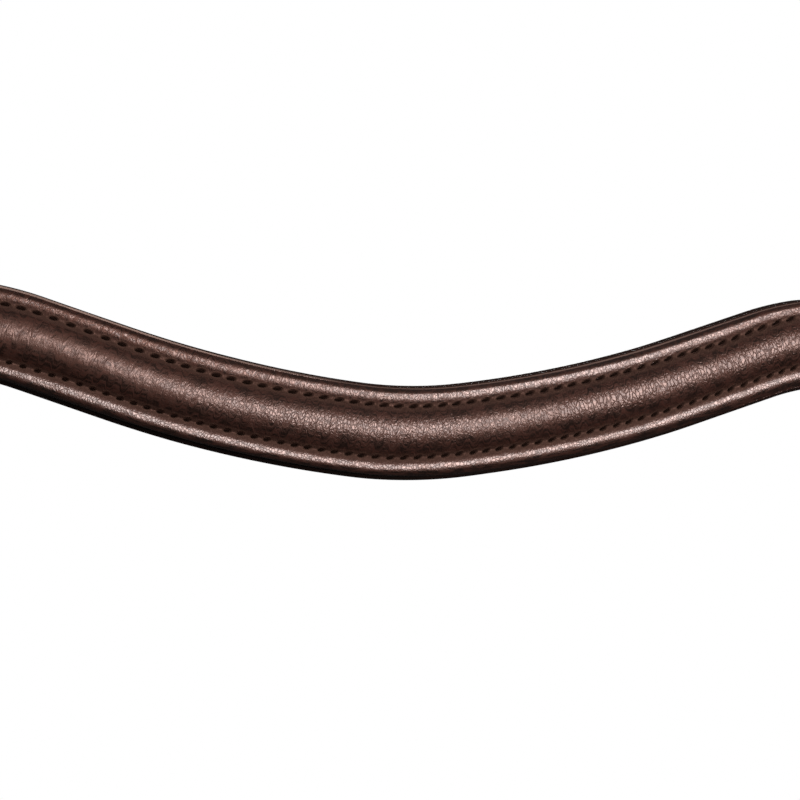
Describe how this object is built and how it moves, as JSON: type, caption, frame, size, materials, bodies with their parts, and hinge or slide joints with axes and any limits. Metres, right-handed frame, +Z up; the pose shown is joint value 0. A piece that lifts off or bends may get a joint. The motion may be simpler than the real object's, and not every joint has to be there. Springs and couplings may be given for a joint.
{
  "type": "bridle browband",
  "caption": "Curved, raised and padded leather browband of a bridle, with stitched channels, a rolled lining and sewn end loops for the headpiece straps.",
  "frame": {"origin": "on the lining's back face, at the lowest point of the band's centre line, in its plane of symmetry", "axes": "+X along the band to the right as seen from its face, +Y out of the back towards the horse's forehead, +Z up as worn"},
  "size_m": [0.4034, 0.0185, 0.0502],
  "materials": {
    "face_leather": "dark brown leather with a fine pebbled grain and a soft satin sheen",
    "strap_leather": "dark brown bridle leather with burnished edges",
    "lining_leather": "soft dark brown lining leather, nearly matt",
    "filler_cord": "natural twisted filler cord, matt",
    "filler_strip": "undyed skived leather strip, matt",
    "pad_foam": "thin grey foam, matt",
    "thread": "waxed black-brown sewing thread"
  },
  "bodies": {
    "root": {"face_leather": "face_leather", "roll_filler": "filler_cord", "upper_border_filler": "filler_strip", "lower_border_filler": "filler_strip", "strap": "strap_leather", "backing_pad": "pad_foam", "lining_leather": "lining_leather", "upper_seam_needle_thread": "thread", "upper_seam_bobbin_thread": "thread", "lower_seam_needle_thread": "thread", "lower_seam_bobbin_thread": "thread", "left_loop_front_thread": "thread", "left_loop_back_thread": "thread", "right_loop_front_thread": "thread", "right_loop_back_thread": "thread"}
  },
  "joints": []
}
